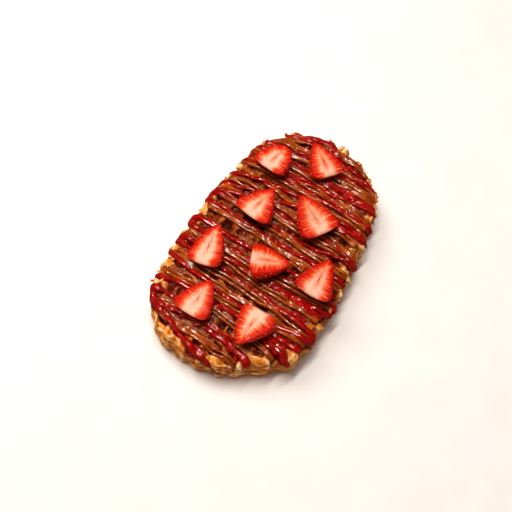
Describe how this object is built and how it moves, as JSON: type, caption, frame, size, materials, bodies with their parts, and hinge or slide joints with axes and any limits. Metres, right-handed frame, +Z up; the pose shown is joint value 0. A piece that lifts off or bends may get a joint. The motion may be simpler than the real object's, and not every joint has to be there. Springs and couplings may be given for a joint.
{
  "type": "croffle",
  "caption": "Long oval waffle of croissant dough with a pocket grid on both faces, topped with halved strawberries lying cut face up.",
  "frame": {"origin": "on the surface that the croffle rests on, at the middle of its bounding box", "axes": "+Z up, +Y along the croffle's length, +X across its width"},
  "size_m": [0.1172, 0.1992, 0.0392],
  "materials": {
    "crust": "golden brown baked croissant dough, slightly oily and flaky",
    "strawberry": "moist cut fruit with a glossy red skin",
    "chocolate": "glossy hazelnut chocolate sauce",
    "red_sauce": "glossy strawberry sauce, slightly clear"
  },
  "bodies": {
    "root": {"croffle": "crust", "strawberry_1": "strawberry", "strawberry_2": "strawberry", "strawberry_3": "strawberry", "strawberry_4": "strawberry", "strawberry_5": "strawberry", "strawberry_6": "strawberry", "strawberry_7": "strawberry", "strawberry_8": "strawberry", "strawberry_9": "strawberry"}
  },
  "joints": []
}
